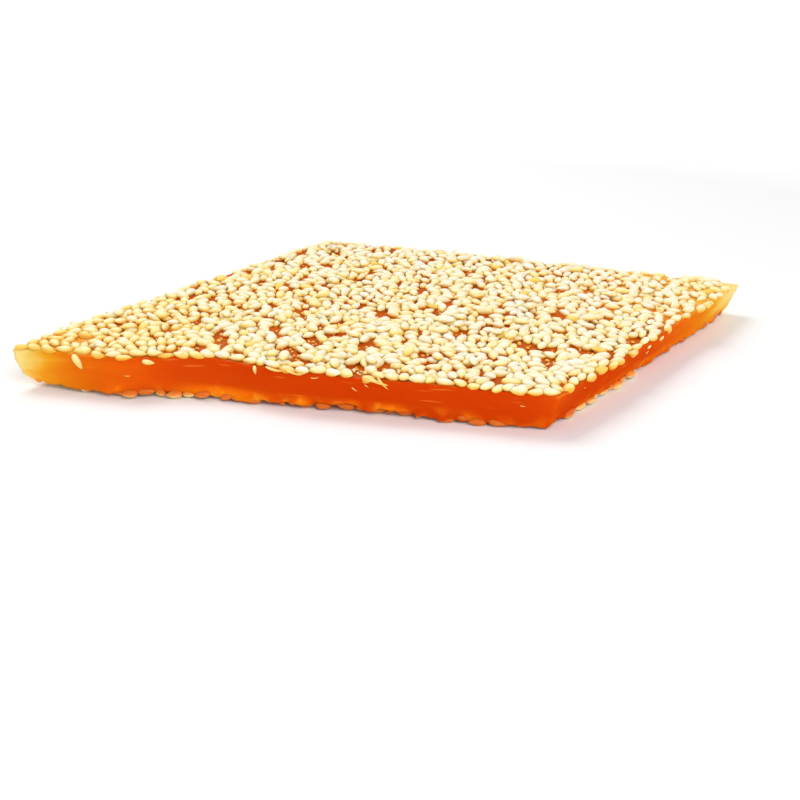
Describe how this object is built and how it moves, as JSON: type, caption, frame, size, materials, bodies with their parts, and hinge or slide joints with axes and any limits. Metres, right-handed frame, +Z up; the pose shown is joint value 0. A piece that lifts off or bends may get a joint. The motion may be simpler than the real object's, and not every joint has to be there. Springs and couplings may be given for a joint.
{
  "type": "sesame candy",
  "caption": "Flat four-cornered piece of clear amber candy, coated with sesame seeds above and below, with smooth cut sides and pointed tips.",
  "frame": {"origin": "middle of the piece's plan, on the surface it rests on", "axes": "+X along the long diagonal towards the right tip, +Y away from the cut front, +Z up through the thickness"},
  "size_m": [0.1539, 0.0966, 0.0094],
  "materials": {
    "amber_candy": "clear amber boiled and starch candy, smooth and glossy where cut, orange in the middle and yellow where thin",
    "sesame": "hulled sesame seeds, cream, satin, toasted golden here and there"
  },
  "bodies": {
    "root": {"amber_sheet": "amber_candy", "sesame_top": "sesame", "sesame_bottom": "sesame"}
  },
  "joints": []
}
